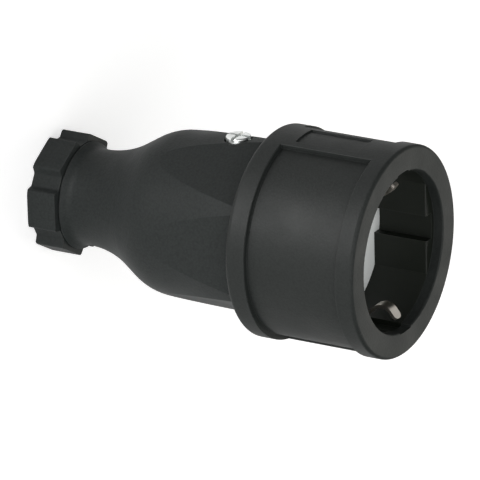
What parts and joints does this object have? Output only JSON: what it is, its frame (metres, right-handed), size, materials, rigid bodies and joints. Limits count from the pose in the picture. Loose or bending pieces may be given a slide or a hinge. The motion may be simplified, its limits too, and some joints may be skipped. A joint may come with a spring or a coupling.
{
  "type": "inline socket connector",
  "caption": "Round inline mains socket with a plug recess, earth clips and a faceted cable handle closed by a lobed gland nut.",
  "frame": {"origin": "on the axis at the rear face of the gland nut, on which the connector stands", "axes": "+Z along the axis from the cable entry to the mouth, -Y through the housing screw and the name panel, the pin contacts on the X axis"},
  "size_m": [0.0524, 0.0524, 0.097],
  "materials": {
    "handle_plastic": "satin black moulded plastic",
    "sleeve_plastic": "satin black moulded plastic",
    "liner_plastic": "black moulded plastic",
    "carrier_plastic": "pale grey moulded plastic",
    "washer_plastic": "natural plastic",
    "seal_rubber": "soft black rubber",
    "screw_steel": "bright zinc plate",
    "spring_steel": "spring steel",
    "contact_brass": "turned brass",
    "earth_nickel": "nickel-plated strip"
  },
  "bodies": {
    "root": {"gland_nut": "handle_plastic", "rear_cover": "handle_plastic", "thrust_washer": "washer_plastic", "cable_seal": "seal_rubber", "housing_screw": "screw_steel", "housing_screw_nut": "screw_steel", "socket_sleeve": "sleeve_plastic", "socket_liner": "liner_plastic", "contact_carrier": "carrier_plastic", "carrier_cover": "carrier_plastic", "carrier_screws": "screw_steel", "live_contact": "contact_brass", "neutral_contact": "contact_brass", "live_contact_spring": "spring_steel", "neutral_contact_spring": "spring_steel", "live_terminal_screw": "screw_steel", "neutral_terminal_screw": "screw_steel", "earth_bracket": "earth_nickel", "earth_terminal": "contact_brass", "earth_terminal_screw": "screw_steel"}
  },
  "joints": []
}
